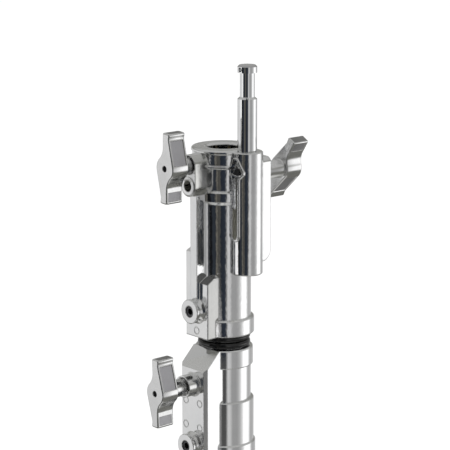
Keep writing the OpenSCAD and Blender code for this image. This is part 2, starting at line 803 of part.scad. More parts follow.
// Turned core of a clamp collar, its top ring cut off by the clamp box's slant
module collar_core(wall_r, slope_y) {
    half = clamp_box_w / 2;
    difference() {
        rotate_extrude()
            polygon(concat(
                [[0, -collar_len]],
                band(wall_r + foot_ring_step, -collar_len, -collar_len + foot_ring_h, 0.9),
                [[wall_r + sleeve_step, -collar_len + foot_ring_h], [wall_r + sleeve_step, -sleeve_drop - 0.6]],
                [[wall_r + sleeve_step - 0.6, -sleeve_drop], [wall_r, -sleeve_drop]],
                [[wall_r, -top_ring_h], [wall_r + top_ring_step - 0.6, -top_ring_h]],
                [[wall_r + top_ring_step, -top_ring_h + 0.6], [wall_r + top_ring_step, -1]],
                [[wall_r + top_ring_step - 1, 0], [0, 0]]
            ));
        rotate([90, 0, 90])
            translate([0, 0, -half])
                linear_extrude(height = clamp_box_w)
                    polygon([[1 - slope_y, 1], [-slope_y - 12, -12], [-slope_y - 12, 1]]);
    }
}

// Holes that a tube clamp needs: the shoe's bore, the screw's and the neck's, out to the boss face
module shoe_holes(tube_r, y_out) {
    toward_front(shoe_hole_r, tube_r - 2, shoe_len + clamp_out + 2 + side_gap);
    toward_front(screw_hole_r, tube_r, y_out);
    toward_front(counter_r, y_out - counter_depth, counter_depth + 1);
}

// Box of a clamp collar: bevelled upright edges and a slanted top
module clamp_box(box_y, slope_y) {
    half = clamp_box_w / 2;
    intersection() {
        translate([0, 0, -collar_len])
            linear_extrude(height = collar_len)
                polygon([
                    [-half, 0], [-half, -box_y + clamp_box_bevel], [-half + clamp_box_bevel, -box_y],
                    [half - clamp_box_bevel, -box_y], [half, -box_y + clamp_box_bevel], [half, 0]
                ]);
        rotate([90, 0, 90])
            translate([0, 0, -half - 1])
                linear_extrude(height = clamp_box_w + 2)
                    polygon([
                        [0, -collar_len - 1], [-box_y - 1, -collar_len - 1],
                        [-box_y - 1, -box_y - 1 + slope_y], [-slope_y, 0], [0, 0]
                    ]);
    }
}

// Guide bush in the top of a clamp collar
module collar_bush(riser_r, z) {
    color("dimgray")
        tube_ring(riser_r + bush_wall, riser_r + run_fit, z - top_ring_h + seat_fit, z - 0.4);
}

module riser_collar() {
    color("silver") translate([0, 0, upper_collar_z]) clamp_collar(lower_r, upper_r);
}

module riser_collar_bush() {
    collar_bush(upper_r, upper_collar_z);
}

module riser_collar_set_screw() {
    translate([0, 0, upper_collar_z - set_boss_drop])
        set_screw(lower_r + 0.1, lower_r + collar_wall + clamp_box_reach + set_boss_len);
}

module lower_riser_tube() {
    color("gainsboro") tube_ring(lower_r, lower_r - tube_wall, lower_end_z, lower_top_z - seat_fit);
}

module lower_riser_foot() {
    riser_foot(lower_r, lower_end_z);
}

module lower_rubber_rings() {
    rubber_rings(lower_r, upper_collar_z - collar_len - ring_pair_h);
}

module base_collar() {
    color("silver") translate([0, 0, lower_collar_z]) clamp_collar(base_r, lower_r);
}

module base_collar_bush() {
    collar_bush(lower_r, lower_collar_z);
}

module base_collar_set_screw() {
    translate([0, 0, lower_collar_z - set_boss_drop])
        set_screw(base_r + 0.1, base_r + collar_wall + clamp_box_reach + set_boss_len);
}

module base_tube() {
    color("gainsboro") tube_ring(base_r, base_r - tube_wall, column_lift, base_top_z - seat_fit);
}

// Plug in the base tube's lower end
module base_end_cap() {
    color("black")
        difference() {
            union() {
                translate([0, 0, column_lift - 4]) cylinder(r = base_r, h = 4);
                translate([0, 0, column_lift - 1]) cylinder(r = base_r - tube_wall - seat_fit, h = 16);
            }
            translate([0, 0, column_lift - 5]) cylinder(r = 6, h = 30);
        }
}

// Handle, screw and shoe of a tube clamp whose boss ends at reach from the axis
module clamp_handle(z, reach, turn) {
    translate([0, 0, z]) face_front(0, reach + clamp_back) rotate(turn) t_handle(clamp_back + neck_in / 2);
}

module clamp_rod(z, tube_r, reach) {
    shoulder = tube_r + run_fit + shoe_len + screw_gap;
    translate([0, 0, z])
        face_front(0, shoulder) clamp_screw(reach + clamp_back + handle_thick - screw_end - shoulder);
}

module clamp_shoe(z, tube_r) {
    back = tube_r + run_fit + shoe_len;
    color("goldenrod")
        translate([0, 0, z])
            difference() {
                toward_front(shoe_r, tube_r - 1.3, back - tube_r + 1.3);
                translate([0, 0, -shoe_r - 1]) cylinder(r = tube_r + run_fit, h = 2 * shoe_r + 2);
                toward_front(dog_r + run_fit, back - dog_len - screw_gap, dog_len + 1);
            }
}

upper_reach = lower_r + collar_wall + clamp_box_reach + boss_len;
lower_reach = base_r + collar_wall + clamp_box_reach + boss_len;
upper_clamp_z = upper_collar_z - clamp_screw_drop;
lower_clamp_z = lower_collar_z - clamp_screw_drop;

module upper_clamp_handle() {
    clamp_handle(upper_clamp_z, upper_reach, -1);
}

module upper_clamp_screw() {
    clamp_rod(upper_clamp_z, upper_r, upper_reach);
}

module upper_clamp_shoe() {
    clamp_shoe(upper_clamp_z, upper_r);
}

module lower_clamp_handle() {
    clamp_handle(lower_clamp_z, lower_reach, -6);
}

module lower_clamp_screw() {
    clamp_rod(lower_clamp_z, lower_r, lower_reach);
}

module lower_clamp_shoe() {
    clamp_shoe(lower_clamp_z, lower_r);
}

// Sliding leg collar: a sleeve on the base tube, three pairs of ears and a clamp block
leg_reach = leg_collar_r + 5.8 + boss_len;

module leg_collar() {
    z0 = leg_pivot_h - leg_collar_h / 2;
    z1 = leg_pivot_h + leg_collar_h / 2;
    color("silver")
        difference() {
            union() {
                rotate_extrude()
                    polygon(concat(
                        [[0, z0]],
                        band(leg_collar_r + 2, z0, z0 + 10, 1),
                        [[leg_collar_r, z0 + 11], [leg_collar_r, z1 - 11]],
                        band(leg_collar_r + 2, z1 - 10, z1, 1),
                        [[0, z1]]
                    ));
                for (turn = leg_turn) rotate(turn) leg_ears();
                round_block(28, -leg_collar_r - 5.8, 0, leg_pivot_h - 20, leg_pivot_h + 20, 2.5);
                translate([0, 0, leg_pivot_h]) toward_front(boss_d / 2, 0, leg_reach);
            }
            translate([0, 0, z0 - 1]) cylinder(r = base_r + run_fit, h = leg_collar_h + 2);
            for (turn = leg_turn)
                rotate(turn)
                    translate([leg_pivot_r, 0, leg_pivot_h])
                        rotate([90, 0, 0]) cylinder(r = bolt_r + seat_fit, h = 4 * ear_out, center = true);
            translate([0, 0, leg_pivot_h]) shoe_holes(base_r, leg_reach);
        }
}

// Two ears with round ends, standing out along X
module leg_ears() {
    for (side = [-1, 1])
        translate([0, side * (ear_in + ear_out) / 2, leg_pivot_h])
            rotate([90, 0, 0])
                translate([0, 0, -ear_t / 2])
                    linear_extrude(height = ear_t) {
                        translate([leg_pivot_r, 0]) circle(r = 11);
                        translate([base_r + 3, -14]) square([leg_pivot_r - base_r - 7, 28]);
                        translate([base_r + 3, -11]) square([leg_pivot_r - base_r - 3, 22]);
                    }
}

// Pivot bolt across Y: a shank, a domed head and a nut
module pivot_bolt(half) {
    r = bolt_r;
    rotate([90, 0, 0]) {
        translate([0, 0, -half - 1]) cylinder(r = r, h = 2 * half + 2);
        translate([0, 0, half])
            rotate_extrude()
                polygon([[0, 0], [r + 2.6, 0], [r + 2.6, 1.2], [r + 1.4, 3], [r - 1, 4], [0, 4]]);
        translate([0, 0, -half - 5]) cylinder(r = r + 2.8, h = 5, $fn = 6);
    }
}

module leg_bolts() {
    color("gainsboro")
        for (turn = leg_turn) rotate(turn) translate([leg_pivot_r, 0, leg_pivot_h]) pivot_bolt(ear_out);
}

module leg_clamp_handle() {
    clamp_handle(leg_pivot_h, leg_reach, 5);
}

module leg_clamp_screw() {
    clamp_rod(leg_pivot_h, base_r, leg_reach);
}

module leg_clamp_shoe() {
    clamp_shoe(leg_pivot_h, base_r);
}

// Put a leg's part on its leg: Z runs down the leg from its pivot
module along_leg(k) {
    rotate(leg_turn[k])
        translate([leg_pivot_r, 0, leg_pivot_h])
            rotate([0, 180 - leg_angle, 0]) children();
}

// Top of a leg: a tongue round the pivot bolt and a plug in the leg tube
module leg_top(k) {
    along_leg(k)
        color("silver")
            difference() {
                union() {
                    rotate([90, 0, 0])
                        translate([0, 0, -tongue_t / 2])
                            linear_extrude(height = tongue_t) {
                                circle(r = 10.6);
                                translate([-10.6, 0]) square([21.2, 24]);
                            }
                    translate([0, 0, 20]) cylinder(r1 = 10.5, r2 = leg_r, h = 5);
                    translate([0, 0, 25]) cylinder(r = leg_r, h = 3);
                    translate([0, 0, 27]) cylinder(r = leg_bore_r - seat_fit, h = 24);
                }
                rotate([90, 0, 0]) cylinder(r = bolt_r + run_fit, h = 2 * tongue_t, center = true);
            }
}

module leg_tube(k) {
    along_leg(k) color("gainsboro") tube_ring(leg_r, leg_bore_r, 28, leg_len - 24);
}

// Clamp round a leg tube that carries the brace pivot, with a flat boss on each side
module leg_saddle(k) {
    along_leg(k)
        translate([0, 0, brace_drop])
            color("silver")
                difference() {
                    union() {
                        translate([0, 0, -17])
                            rotate_extrude()
                                polygon(concat([[0, 0]], band(leg_r + 2.4, 0, 34, 0.8), [[0, 34]]));
                        rotate([90, 0, 0]) cylinder(r = 10, h = 2 * lug_half, center = true);
                    }
                    translate([0, 0, -30]) cylinder(r = leg_r + seat_fit, h = 60);
                }
}

// Rubber foot on the end of a leg, cut flat where it stands
module leg_foot(k) {
    color("black")
        intersection() {
            along_leg(k)
                difference() {
                    translate([0, 0, leg_len - foot_len])
                        rotate_extrude()
                            polygon([
                                [0, 0], [foot_d / 2 - 3, 0], [foot_d / 2 - 1.4, 2], [foot_d / 2 - 1.4, 8],
                                [foot_d / 2, 10], [foot_d / 2, foot_len - 6], [foot_d / 2 - 3, foot_len - 1],
                                [foot_d / 2 - 8, foot_len], [0, foot_len]
                            ]);
                    translate([0, 0, leg_len - foot_len - 1])
                        cylinder(r = leg_r + seat_fit, h = foot_len - 24 + 1 + seat_fit);
                }
            rotate(leg_turn[k]) translate([leg_pivot_r, -100, 0]) cube([leg_len, 200, leg_pivot_h]);
        }
}

// Pair of brace bars from the bracket to a leg's saddle, riveted at the leg
module brace(k) {
    rotate(leg_turn[k])
        translate([brace_pivot_r, 0, brace_pivot_h])
            rotate([0, -brace_rise, 0])
                color("silver")
                    for (side = [-1, 1])
                        difference() {
                            union() {
                                translate([0, side * (bar_in + bar_out) / 2, 0])
                                    rotate([90, 0, 0]) translate([0, 0, -brace_t / 2]) brace_bar();
                                translate([brace_len, side * bar_out, 0])
                                    rotate([-side * 90, 0, 0])
                                        rotate_extrude()
                                            polygon([[0, -1], [7, -1], [7, 0.9], [5.2, 2.6], [2.6, 3.2], [0, 3.2]]);
                            }
                            rotate([90, 0, 0]) cylinder(r = bolt_r + run_fit, h = 6 * bar_out, center = true);
                        }
}

// One flat bar with round ends
module brace_bar() {
    linear_extrude(height = brace_t) {
        circle(d = brace_w);
        translate([brace_len, 0]) circle(d = brace_w);
        translate([0, -brace_w / 2]) square([brace_len, brace_w]);
    }
}

// Bracket on the foot of the base tube that carries the braces
module brace_bracket() {
    z0 = column_lift + 4;
    z1 = brace_pivot_h + 20;
    r = base_r + seat_fit + 5.5;
    color("silver")
        difference() {
            union() {
                rotate_extrude()
                    polygon(concat([[0, z0]], band(r, z0, z1, 1.2), [[0, z1]]));
                for (turn = leg_turn)
                    rotate(turn)
                        translate([0, 0, brace_pivot_h])
                            rotate([90, 0, 0])
                                translate([0, 0, -lug_half])
                                    linear_extrude(height = 2 * lug_half) {
                                        translate([brace_pivot_r, 0]) circle(r = 10);
                                        translate([base_r + 2, -10]) square([brace_pivot_r - base_r - 2, 20]);
                                    }
            }
            translate([0, 0, z0 - 1]) cylinder(r = base_r + seat_fit, h = z1 - z0 + 2);
            for (turn = leg_turn)
                rotate(turn)
                    translate([brace_pivot_r, 0, brace_pivot_h])
                        rotate([90, 0, 0]) cylinder(r = bolt_r + seat_fit, h = 4 * bar_out, center = true);
        }
}

module brace_bolts() {
    color("gainsboro")
        for (turn = leg_turn)
            rotate(turn) translate([brace_pivot_r, 0, brace_pivot_h]) pivot_bolt(bar_out + side_gap);
}

head_casting();
head_set_screw();
upper_riser_tube();
upper_riser_foot();
upper_rubber_rings();
spigot();
spigot_guide_pin();
receiver_handle();
receiver_screw();
receiver_pad();
spigot_handle();
spigot_screw();
spigot_pad();
riser_collar();
riser_collar_bush();
riser_collar_set_screw();
lower_riser_tube();
lower_riser_foot();
lower_rubber_rings();
upper_clamp_handle();
upper_clamp_screw();
upper_clamp_shoe();
base_collar();
base_collar_bush();
base_collar_set_screw();
base_tube();
base_end_cap();
brace_bracket();
brace_bolts();
lower_clamp_handle();
lower_clamp_screw();
lower_clamp_shoe();
leg_collar();
leg_bolts();
leg_clamp_handle();
leg_clamp_screw();
leg_clamp_shoe();
leg_top(0);  // leg_top_1
leg_top(1);  // leg_top_2
leg_top(2);  // leg_top_3
leg_tube(0);  // leg_tube_1
leg_tube(1);  // leg_tube_2
leg_tube(2);  // leg_tube_3
leg_saddle(0);  // leg_saddle_1
leg_saddle(1);  // leg_saddle_2
leg_saddle(2);  // leg_saddle_3
leg_foot(0);  // leg_foot_1
leg_foot(1);  // leg_foot_2
leg_foot(2);  // leg_foot_3
brace(0);  // brace_1
brace(1);  // brace_2
brace(2);  // brace_3
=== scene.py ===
"""Combo stand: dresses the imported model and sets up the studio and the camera."""
import json
import math

import bmesh
import bpy
from mathutils import Matrix, Vector


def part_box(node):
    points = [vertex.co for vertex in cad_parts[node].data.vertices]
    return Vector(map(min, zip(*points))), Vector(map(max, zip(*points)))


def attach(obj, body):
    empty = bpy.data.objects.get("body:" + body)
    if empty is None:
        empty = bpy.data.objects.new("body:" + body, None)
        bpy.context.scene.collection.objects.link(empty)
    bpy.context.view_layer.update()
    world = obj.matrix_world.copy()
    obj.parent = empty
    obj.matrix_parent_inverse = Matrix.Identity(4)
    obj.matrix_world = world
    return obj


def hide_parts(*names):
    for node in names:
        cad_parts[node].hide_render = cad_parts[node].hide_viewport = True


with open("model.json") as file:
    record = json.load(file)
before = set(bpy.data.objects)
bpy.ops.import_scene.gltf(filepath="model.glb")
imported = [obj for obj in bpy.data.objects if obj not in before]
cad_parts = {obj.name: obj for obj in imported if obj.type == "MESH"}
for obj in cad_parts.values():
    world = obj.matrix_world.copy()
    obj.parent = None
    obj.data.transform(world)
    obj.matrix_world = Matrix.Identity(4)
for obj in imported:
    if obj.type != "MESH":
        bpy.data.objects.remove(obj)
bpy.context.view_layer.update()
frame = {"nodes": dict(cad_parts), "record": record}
nodes = frame["nodes"]
scene = bpy.context.scene
scene.view_settings.view_transform = "Standard"


# Camera
# The mast's axis is in the middle of the picture, seen from the front right and a little from above.
AZIMUTH = math.radians(48.0)
PITCH = math.radians(12.5)
DISTANCE = 1.569
LENS_MM = 152.0
SENSOR_MM = 36.0
CLIP_START = 0.05
AIM = Vector((0.00055, 0.00062, 1.2033))

back = Vector((
    math.sin(AZIMUTH) * math.cos(PITCH),
    -math.cos(AZIMUTH) * math.cos(PITCH),
    math.sin(PITCH),
))
cam_data = bpy.data.cameras.new("camera")
cam_data.lens = LENS_MM
cam_data.sensor_width = SENSOR_MM
cam_data.clip_start = CLIP_START
camera = bpy.data.objects.new("camera", cam_data)
scene.collection.objects.link(camera)
camera.location = AIM + back * DISTANCE
camera.rotation_mode = "QUATERNION"
camera.rotation_quaternion = (-back).to_track_quat("-Z", "Y")
scene.camera = camera


# Materials
def material(name):
    """A new material, its node tree and its shader."""
    mat = bpy.data.materials.new(name)
    mat.use_nodes = True
    tree = mat.node_tree
    shader = tree.nodes["Principled BSDF"]
    return mat, tree, shader


def add(tree, kind, **inputs):
    """A new node with the values of some inputs: an underscore stands for the space in a name."""
    node = tree.nodes.new(kind)
    for key, value in inputs.items():
        node.inputs[key.replace("_", " ")].default_value = value
    return node


def noise(tree, coords, scale, detail, rough, stretch=None):
    """Noise in the object's own metres: scale is features per metre."""
    source = coords
    if stretch:
        mapping = tree.nodes.new("ShaderNodeMapping")
        mapping.inputs["Scale"].default_value = stretch
        tree.links.new(coords, mapping.inputs["Vector"])
        source = mapping.outputs["Vector"]
    node = add(tree, "ShaderNodeTexNoise", Scale=scale, Detail=detail, Roughness=rough)
    tree.links.new(source, node.inputs["Vector"])
    return node.outputs["Fac"]


def ramp(tree, value, low, high, a, b):
    """value from low to high becomes a to b."""
    node = tree.nodes.new("ShaderNodeMapRange")
    for key, number in zip(("From Min", "From Max", "To Min", "To Max"), (low, high, a, b)):
        node.inputs[key].default_value = number
    tree.links.new(value, node.inputs["Value"])
    return node.outputs["Result"]


def colour_ramp(tree, value, stops):
    """value from 0 to 1 becomes a colour between the stops, each a place and a colour."""
    node = tree.nodes.new("ShaderNodeValToRGB")
    ends = node.color_ramp.elements
    for k, (place, colour) in enumerate(stops):
        stop = ends[k] if k < 2 else ends.new(place)
        stop.position = place
        stop.color = (*colour, 1.0)
    tree.links.new(value, node.inputs["Fac"])
    return node.outputs["Color"]


def blend(tree, amount, base, colour):
    """The colour of the base socket, turning into a plain colour as the amount goes from 0 to 1."""
    node = tree.nodes.new("ShaderNodeMix")
    node.data_type = "RGBA"
    tree.links.new(amount, node.inputs[0])
    before, after = [socket for socket in node.inputs if socket.type == "RGBA"]
    tree.links.new(base, before)
    after.default_value = (*colour, 1.0)
    return [socket for socket in node.outputs if socket.type == "RGBA"][0]


def bump(tree, height, strength, depth_mm, normal=None):
    """The normal of a skin with this height and depth, on top of another normal if there is one."""
    node = add(tree, "ShaderNodeBump", Strength=strength, Distance=depth_mm / 1000.0)
    tree.links.new(height, node.inputs["Height"])
    if normal:
        tree.links.new(normal, node.inputs["Normal"])
    return node.outputs["Normal"]


# Noises of the plating: features per metre, and the noise value where a look starts and where it is full
CLOUD_SCALE = 35.0
CLOUD_DARK = 0.30
CLOUD_LIGHT = 0.62
WEAR_NONE = 0.12
WEAR_FULL = 0.42
WAVE_SCALE = 260.0
EDGE_SAMPLES = 6


def plated(name, light, dark, rough, grain, bump_mm, streak=None, edge_mm=0.0, wave_mm=0.0):
    """Bright plating: cloudy polish, fine pits of the metal under it, and worn patches that are duller.

    rough is the roughness where the plating is good and where it is worn, and grain is pits per metre.
    A cast body also has soft edges and a slightly wavy skin.
    """
    mat, tree, shader = material(name)
    coords = tree.nodes.new("ShaderNodeTexCoord").outputs["Object"]
    cloud = noise(tree, coords, CLOUD_SCALE, detail=4.0, rough=0.6, stretch=streak)
    fine = noise(tree, coords, grain, detail=3.0, rough=0.55)
    colour = colour_ramp(tree, cloud, [(CLOUD_DARK, dark), (CLOUD_LIGHT, light)])
    tree.links.new(colour, shader.inputs["Base Color"])
    wear = tree.nodes.new("ShaderNodeMath")
    wear.operation = "MULTIPLY"
    tree.links.new(cloud, wear.inputs[0])
    tree.links.new(fine, wear.inputs[1])
    roughness = ramp(tree, wear.outputs["Value"], WEAR_NONE, WEAR_FULL, *rough)
    tree.links.new(roughness, shader.inputs["Roughness"])
    normal = None
    if edge_mm:
        soft_edge = add(tree, "ShaderNodeBevel", Radius=edge_mm / 1000.0)
        soft_edge.samples = EDGE_SAMPLES
        normal = soft_edge.outputs["Normal"]
    if wave_mm:
        wave = noise(tree, coords, WAVE_SCALE, detail=2.0, rough=0.5)
        normal = bump(tree, wave, strength=1.0, depth_mm=wave_mm, normal=normal)
    pits = bump(tree, fine, strength=0.5, depth_mm=bump_mm, normal=normal)
    tree.links.new(pits, shader.inputs["Normal"])
    shader.inputs["Metallic"].default_value = 1.0
    return mat


casting = plated("cast_plating", light=(0.93, 0.93, 0.93), dark=(0.86, 0.865, 0.87), rough=(0.045, 0.11),
                 grain=900.0, bump_mm=0.024, edge_mm=0.9, wave_mm=0.012)
head_skin = plated("head_plating", light=(0.93, 0.93, 0.93), dark=(0.86, 0.865, 0.87),
                   rough=(0.045, 0.11), grain=900.0, bump_mm=0.060, edge_mm=1.3, wave_mm=0.11)
handle_skin = plated("handle_plating", light=(0.88, 0.88, 0.88), dark=(0.76, 0.76, 0.76),
                     rough=(0.12, 0.26), grain=700.0, bump_mm=0.020)
tube = plated("tube_plating", light=(0.94, 0.945, 0.95), dark=(0.90, 0.905, 0.91), rough=(0.05, 0.11),
              grain=1400.0, bump_mm=0.003, streak=(1.0, 1.0, 0.12))
spigot_skin = plated("spigot_plating", light=(0.93, 0.935, 0.94), dark=(0.88, 0.885, 0.89),
                     rough=(0.02, 0.06), grain=1200.0, bump_mm=0.002, streak=(0.3, 0.3, 3.0))
bar = plated("bar_plating", light=(0.92, 0.925, 0.93), dark=(0.86, 0.865, 0.87), rough=(0.09, 0.20),
             grain=1000.0, bump_mm=0.006, streak=(1.0, 1.0, 0.3))
screw_skin = plated("screw_plating", light=(0.70, 0.70, 0.69), dark=(0.52, 0.52, 0.51),
                    rough=(0.22, 0.40), grain=1500.0, bump_mm=0.010)
# Painted shade: a dark gray on the ends of the handles' wings
painted_end_shade = plated("handle_end_shade", light=(0.36, 0.36, 0.355), dark=(0.26, 0.26, 0.255), rough=(0.28, 0.45),
                  grain=900.0, bump_mm=0.020)
panel_skin = plated("handle_panel", light=(0.60, 0.595, 0.62), dark=(0.48, 0.475, 0.50),
                    rough=(0.38, 0.55), grain=900.0, bump_mm=0.030)
dark_steel = plated("dark_steel", light=(0.13, 0.13, 0.135), dark=(0.07, 0.07, 0.075), rough=(0.30, 0.50),
                    grain=1200.0, bump_mm=0.015)
brass = plated("brass", light=(0.58, 0.45, 0.24), dark=(0.42, 0.31, 0.15), rough=(0.24, 0.42),
               grain=1200.0, bump_mm=0.010)
# Single faces of the castings and the spigot, which are polished otherwise. The darker colours of the head
# box's flank and top and of the receiver block's flank are painted shade.
# Painted shade: a darker colour on the flat flank of the head's box
shaded_box_flank = plated("shaded_box_flank", light=(0.54, 0.54, 0.53), dark=(0.48, 0.48, 0.47), rough=(0.08, 0.15),
                   grain=900.0, bump_mm=0.040, edge_mm=1.3, wave_mm=0.06)
# Painted shade: a darker colour on the flank of the receiver block
shaded_block_flank = plated("shaded_block_flank", light=(0.78, 0.78, 0.76), dark=(0.64, 0.64, 0.62), rough=(0.12, 0.22),
                     grain=900.0, bump_mm=0.050, edge_mm=1.3, wave_mm=0.10)
# Painted shade and reflection: a dark gray on the sloped top of the head's box
shaded_box_top = plated("shaded_box_top", light=(0.19, 0.19, 0.19), dark=(0.12, 0.12, 0.12), rough=(0.10, 0.20),
                 grain=900.0, bump_mm=0.060, edge_mm=1.3, wave_mm=0.10)
satin_bevel = plated("satin_bevel", light=(0.93, 0.93, 0.93), dark=(0.88, 0.88, 0.88), rough=(0.34, 0.42),
                     grain=900.0, bump_mm=0.010, edge_mm=0.9)
slope_face = plated("slope_face", light=(0.93, 0.93, 0.92), dark=(0.86, 0.86, 0.85), rough=(0.24, 0.34),
                    grain=900.0, bump_mm=0.012, edge_mm=0.9)
spigot_end = plated("spigot_end", light=(0.66, 0.66, 0.67), dark=(0.56, 0.56, 0.57), rough=(0.06, 0.14),
                    grain=1200.0, bump_mm=0.004)
boss_side = plated("boss_side", light=(0.92, 0.92, 0.92), dark=(0.84, 0.84, 0.84), rough=(0.16, 0.26),
                   grain=900.0, bump_mm=0.016)

# The same for rubber, plastic and raw metal
DULL_CLOUD_SCALE = 60.0
DULL_GRAIN_SCALE = 1800.0
DULL_DARK = 0.35
DULL_LIGHT = 0.7
DULL_SMOOTH = 0.3
DULL_ROUGH = 0.7


def dull(name, light, dark, rough, bump_mm, shine):
    """Rubber, plastic or raw cast metal: cloudy, with a fine grain and a weak shine."""
    mat, tree, shader = material(name)
    coords = tree.nodes.new("ShaderNodeTexCoord").outputs["Object"]
    cloud = noise(tree, coords, DULL_CLOUD_SCALE, detail=4.0, rough=0.6)
    fine = noise(tree, coords, DULL_GRAIN_SCALE, detail=2.0, rough=0.5)
    colour = colour_ramp(tree, cloud, [(DULL_DARK, dark), (DULL_LIGHT, light)])
    tree.links.new(colour, shader.inputs["Base Color"])
    tree.links.new(ramp(tree, cloud, DULL_SMOOTH, DULL_ROUGH, *rough), shader.inputs["Roughness"])
    tree.links.new(bump(tree, fine, strength=0.6, depth_mm=bump_mm), shader.inputs["Normal"])
    shader.inputs["Specular IOR Level"].default_value = shine
    return mat


rubber = dull("ring_rubber", light=(0.010, 0.010, 0.010), dark=(0.004, 0.004, 0.004), rough=(0.11, 0.20),
              bump_mm=0.012, shine=0.65)
raw_bore = dull("raw_bore", light=(0.96, 0.95, 0.90), dark=(0.88, 0.87, 0.81), rough=(0.45, 0.60),
                bump_mm=0.08, shine=0.30)
# Painted shade: a dark gray in the spare screw's bore
painted_shade_bore = dull("painted_shade_bore", light=(0.34, 0.34, 0.30), dark=(0.22, 0.22, 0.20), rough=(0.45, 0.60),
                 bump_mm=0.08, shine=0.30)
foot_rubber = dull("foot_rubber", light=(0.030, 0.030, 0.031), dark=(0.016, 0.016, 0.017),
                   rough=(0.55, 0.75), bump_mm=0.06, shine=0.35)
guide_plastic = dull("guide_plastic", light=(0.055, 0.055, 0.058), dark=(0.035, 0.035, 0.037),
                     rough=(0.40, 0.55), bump_mm=0.03, shine=0.35)

SKINS = {
    "casting": casting,
    "handle": handle_skin,
    "tube": tube,
    "spigot_steel": spigot_skin,
    "bar": bar,
    "screw": screw_skin,
    "dark_steel": dark_steel,
    "brass": brass,
    "guide_plastic": guide_plastic,
    "rubber": rubber,
}
for part in frame["record"]["subparts"]:
    obj = nodes[part["node"]]
    skin = SKINS[part["material_slot"]]
    if part["node"].startswith("leg_foot"):
        skin = foot_rubber
    if part["node"] == "head_casting":
        skin = head_skin
    obj.data.materials.clear()
    obj.data.materials.append(skin)


# Faces with a finish of their own, or with painted shade
def finish_or_shade_faces(node, skin, test):
    """Give a finish or painted shade to the faces of a CAD node whose centre (in mm) and normal pass the
    test.
    """
    mesh = nodes[node].data
    mesh.materials.append(skin)
    for face in mesh.polygons:
        if test(face.center * 1000, face.normal):
            face.material_index = len(mesh.materials) - 1


# Places on the head, in millimetres. The tube clamps are on the side where y is negative.
RIM_Z = 1000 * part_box("head_casting")[1].z
BOX_SIDE_X = 13.4
BOX_SIDE_SLACK = 0.1
BOX_TOP_Z = RIM_Z - 101
BOX_SLANT_Z = BOX_TOP_Z - 16
BOX_SLANT_X = (-1, 14)
BLOCK_SIDE_X = (0, 9)
BLOCK_BACK_Y = -24
BLOCK_FOOT_Z = RIM_Z - 42
HEAD_WALL_Y = -20
SPARE_BORE_Z = RIM_Z - 27.2
SPARE_BORE_R = 4.7
SPIGOT_X = 27.98
SPIGOT_BORE_R = 8.15
SPIGOT_BORE_Z = (RIM_Z - 102, RIM_Z - 25)
SPIGOT_WALL_LOOK = -5
SPIGOT_END_Z = 1000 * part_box("spigot")[1].z - 2
# Places on the two tube collars
SLOPE_Y = -24
BEVEL_Y = -30
BOSS_Y = -36
BOSS_DROP = 28.2
BOSS_R = 9.2
BOSS_R_SLACK = 0.4
# How far a face looks along an axis, as the part of its normal
LEANING = 0.3
SLANTED = 0.5
SQUARE = 0.9
UPRIGHT = 0.1


# The head box's flat flank, which gets painted shade
def on_box_flank(centre, normal):
    return normal.x > SQUARE and abs(centre.x - BOX_SIDE_X) < BOX_SIDE_SLACK and centre.z < BOX_TOP_Z


# The receiver block's flank, which gets painted shade
def on_block_flank(centre, normal):
    beside = BLOCK_SIDE_X[0] < centre.x < BLOCK_SIDE_X[1]
    return normal.x > LEANING and beside and centre.y < BLOCK_BACK_Y and centre.z > BLOCK_FOOT_Z


# The sloped top of the head's box, which gets painted shade
def on_box_slant(centre, normal):
    above = BOX_SLANT_X[0] < centre.x < BOX_SLANT_X[1] and centre.y < HEAD_WALL_Y
    return normal.z > LEANING and above and BOX_SLANT_Z < centre.z < BOX_TOP_Z


def in_spare_bore(centre, normal):
    """The upper half of the wall of the spare screw's bore, whose axis is a little below SPARE_BORE_Z.
    These faces get painted shade.
    """
    return math.hypot(centre.x, centre.z - SPARE_BORE_Z) < SPARE_BORE_R and centre.y < HEAD_WALL_Y


def in_spigot_bore(centre, normal):
    """The wall of the spigot's bore, which looks towards the spigot's axis."""
    x = centre.x - SPIGOT_X
    inside = math.hypot(x, centre.y) < SPIGOT_BORE_R and SPIGOT_BORE_Z[0] < centre.z < SPIGOT_BORE_Z[1]
    return inside and x * normal.x + centre.y * normal.y < SPIGOT_WALL_LOOK


def on_spigot_end(centre, normal):
    return normal.z > LEANING and centre.z > SPIGOT_END_Z


def on_collar_slope(centre, normal):
    return normal.z > LEANING and normal.y < -LEANING and centre.y < SLOPE_Y


def on_collar_bevel(centre, normal):
    upright = abs(normal.z) < UPRIGHT
    return normal.x > SLANTED and normal.y < -SLANTED and upright and centre.y < BEVEL_Y


def on_boss_side(boss_z):
    """The test for the round side of a collar's clamp boss at this height."""
    def test(centre, normal):
        return abs(math.hypot(centre.x, centre.z - boss_z) - BOSS_R) < BOSS_R_SLACK and centre.y < BOSS_Y

    return test


# Painted shade on the head box's flank and top and on the receiver block's flank
finish_or_shade_faces("head_casting", shaded_box_flank, on_box_flank)
finish_or_shade_faces("head_casting", shaded_block_flank, on_block_flank)
finish_or_shade_faces("head_casting", shaded_box_top, on_box_slant)
# Painted shade in the spare screw's bore
finish_or_shade_faces("head_casting", painted_shade_bore, in_spare_bore)
finish_or_shade_faces("head_casting", raw_bore, in_spigot_bore)
finish_or_shade_faces("spigot", spigot_end, on_spigot_end)
for collar in ("riser_collar", "base_collar"):
    collar_top = 1000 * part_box(collar)[1].z
    finish_or_shade_faces(collar, slope_face, on_collar_slope)
    finish_or_shade_faces(collar, satin_bevel, on_collar_bevel)
    finish_or_shade_faces(collar, boss_side, on_boss_side(collar_top - BOSS_DROP))


